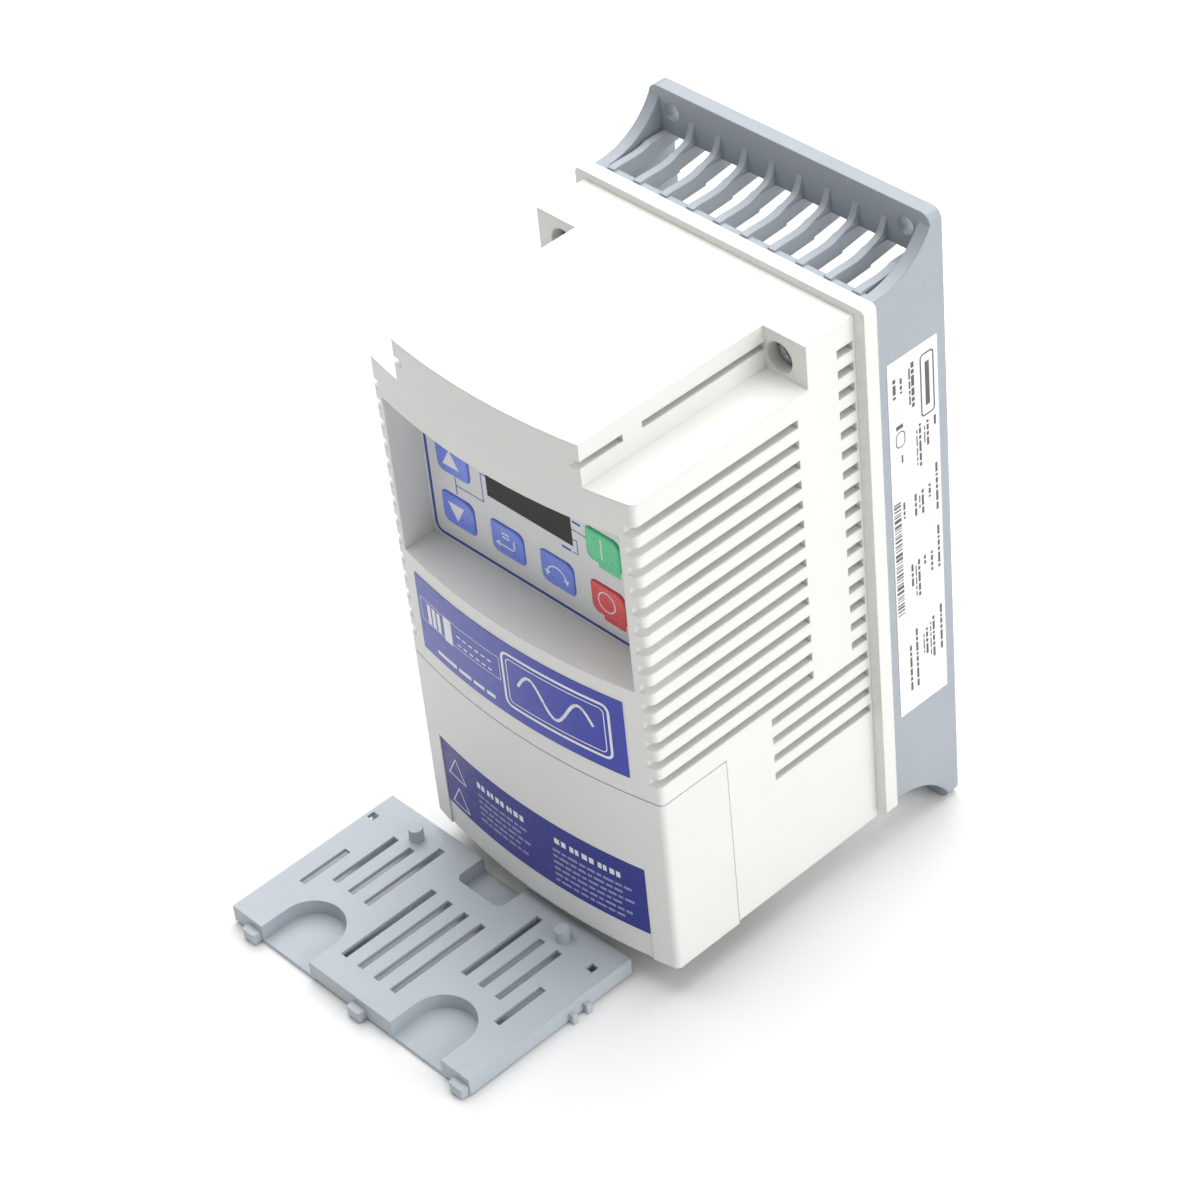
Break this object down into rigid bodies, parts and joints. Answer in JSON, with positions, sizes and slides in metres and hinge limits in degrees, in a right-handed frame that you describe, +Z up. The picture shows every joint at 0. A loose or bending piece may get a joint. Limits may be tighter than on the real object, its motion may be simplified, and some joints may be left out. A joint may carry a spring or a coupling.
{
  "type": "variable frequency drive",
  "caption": "Wall-mounted motor drive with finned heat sink, vented white housing, recessed keypad, lift-off terminal cover and loose conduit plate.",
  "frame": {"origin": "centre of the four wall-bolt holes, on the back face of the flange", "axes": "+X to the right seen from the front, -Y out of the front, +Z up"},
  "size_m": [0.1128, 0.1668, 0.19],
  "materials": {
    "cast_grey": "blue-grey powder coat over die-cast aluminium, satin",
    "fin_aluminium": "bare die-cast aluminium",
    "ring_white": "moulded warm white, fine texture",
    "shell_white": "moulded off-white, fine texture",
    "cover_white": "moulded off-white, fine texture",
    "plate_grey": "moulded blue-grey, satin",
    "film_grey": "printed light grey membrane film",
    "window_grey": "smoked display window",
    "key_blue": "printed blue key",
    "key_green": "printed green key",
    "key_red": "printed red key",
    "label_blue": "printed blue label",
    "label_white": "printed white label",
    "screw_steel": "zinc-plated steel",
    "board_green": "green solder mask",
    "part_black": "black component case",
    "post_brass": "turned brass",
    "can_aluminium": "sleeved aluminium can",
    "pad_grey": "silicone thermal pad",
    "terminal_green": "green terminal housing",
    "terminal_black": "black terminal housing",
    "choke_core": "coated ferrite core",
    "fuse_glass": "ceramic fuse body",
    "memory_black": "black plug-in module",
    "module_grey": "black power module"
  },
  "bodies": {
    "drive": {"mounting_base": "cast_grey", "fin_block": "fin_aluminium", "fin_block_screws": "screw_steel", "rating_label": "label_white", "collar_ring": "ring_white", "housing_shell": "shell_white", "housing_screws": "screw_steel", "nameplate_label": "label_blue", "keypad_overlay": "film_grey", "display_window": "window_grey", "display_module": "part_black", "tact_switches": "part_black", "display_board": "board_green", "display_board_screws": "screw_steel", "display_cable_header": "part_black", "power_board": "board_green", "power_board_posts": "post_brass", "power_module": "module_grey", "thermal_pad": "pad_grey", "module_screws": "screw_steel", "bus_capacitors": "can_aluminium", "filter_choke": "choke_core", "transformer": "part_black", "fuse": "fuse_glass", "relay": "part_black", "board_connector": "part_black", "control_board": "board_green", "control_board_posts": "post_brass", "control_board_screws": "screw_steel", "processor_chip": "part_black", "power_terminal_block": "terminal_black", "power_terminal_screws": "screw_steel", "control_terminal_block": "terminal_green", "control_terminal_screws": "screw_steel", "memory_socket": "part_black"},
    "cover": {"terminal_cover": "cover_white", "caution_label": "label_blue"},
    "conduit_plate": {"conduit_plate": "plate_grey"},
    "memory": {"memory_module": "memory_black"},
    "key_up": {"key_up": "key_blue"},
    "key_down": {"key_down": "key_blue"},
    "key_mode": {"key_mode": "key_blue"},
    "key_direction": {"key_direction": "key_blue"},
    "key_start": {"key_start": "key_green"},
    "key_stop": {"key_stop": "key_red"}
  },
  "joints": [
    {"name": "cover_slide", "type": "slide", "parent": "drive", "child": "cover", "axis": [0, -1, 0], "range_m": [0, 0.04]},
    {"name": "plate_slide", "type": "slide", "parent": "drive", "child": "conduit_plate", "axis": [0, -1, 0], "range_m": [0, 0.06]},
    {"name": "memory_pull", "type": "slide", "parent": "drive", "child": "memory", "axis": [0, -1, 0], "range_m": [0, 0.012]},
    {"name": "key_up_press", "type": "slide", "parent": "drive", "child": "key_up", "axis": [0, 1, 0], "range_m": [0, 0.0005], "stiffness_N_per_m": 2000},
    {"name": "key_down_press", "type": "slide", "parent": "drive", "child": "key_down", "axis": [0, 1, 0], "range_m": [0, 0.0005], "stiffness_N_per_m": 2000},
    {"name": "key_mode_press", "type": "slide", "parent": "drive", "child": "key_mode", "axis": [0, 1, 0], "range_m": [0, 0.0005], "stiffness_N_per_m": 2000},
    {"name": "key_direction_press", "type": "slide", "parent": "drive", "child": "key_direction", "axis": [0, 1, 0], "range_m": [0, 0.0005], "stiffness_N_per_m": 2000},
    {"name": "key_start_press", "type": "slide", "parent": "drive", "child": "key_start", "axis": [0, 1, 0], "range_m": [0, 0.0005], "stiffness_N_per_m": 2000},
    {"name": "key_stop_press", "type": "slide", "parent": "drive", "child": "key_stop", "axis": [0, 1, 0], "range_m": [0, 0.0005], "stiffness_N_per_m": 2000}
  ]
}
